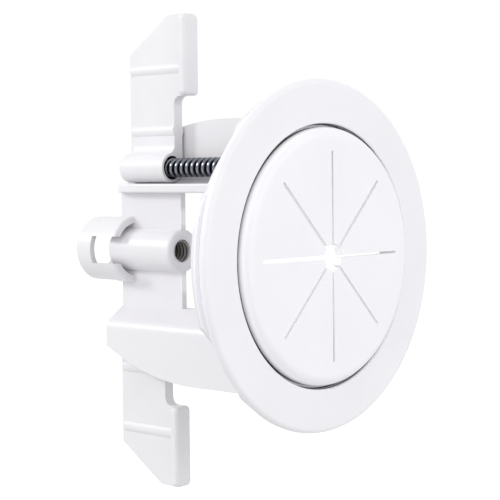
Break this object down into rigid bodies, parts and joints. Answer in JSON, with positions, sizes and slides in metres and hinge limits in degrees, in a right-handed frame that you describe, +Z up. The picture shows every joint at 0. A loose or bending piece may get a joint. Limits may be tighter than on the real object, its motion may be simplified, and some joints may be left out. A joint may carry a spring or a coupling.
{
  "type": "cable pass-through wall plate",
  "caption": "Round wall plate with a slotted flexible cover for cables, a pocketed frame behind it and screw-drawn clamping wings that grip the back of a hollow wall.",
  "frame": {"origin": "on the plate's axis, in the plane of the wall face, which is the back of the flange", "axes": "-Y towards the room, +Y into the wall along the plate's axis, +Z up, +X right as seen from the room"},
  "size_m": [0.09, 0.0879, 0.1316],
  "materials": {
    "white_plastic": "satin",
    "screw_steel": "satin"
  },
  "bodies": {
    "plate": {"frame": "white_plastic", "trim_ring": "white_plastic", "slotted_cover": "white_plastic"},
    "upper_screw": {"upper_screw": "screw_steel"},
    "upper_wing": {"upper_wing": "white_plastic"},
    "lower_screw": {"lower_screw": "screw_steel"},
    "lower_wing": {"lower_wing": "white_plastic"}
  },
  "joints": [
    {"name": "upper_screw_turn", "type": "hinge", "parent": "plate", "child": "upper_screw", "pos_m": [0, 0, 0.0232], "axis": [0, -1, 0], "range_deg": [0, 130]},
    {"name": "upper_wing_slide", "type": "slide", "parent": "upper_screw", "child": "upper_wing", "axis": [0, -1, 0], "range_m": [0, 0.038]},
    {"name": "lower_screw_turn", "type": "hinge", "parent": "plate", "child": "lower_screw", "pos_m": [0, 0, -0.0232], "axis": [0, -1, 0], "range_deg": [0, 130]},
    {"name": "lower_wing_slide", "type": "slide", "parent": "lower_screw", "child": "lower_wing", "axis": [0, -1, 0], "range_m": [0, 0.038]}
  ]
}
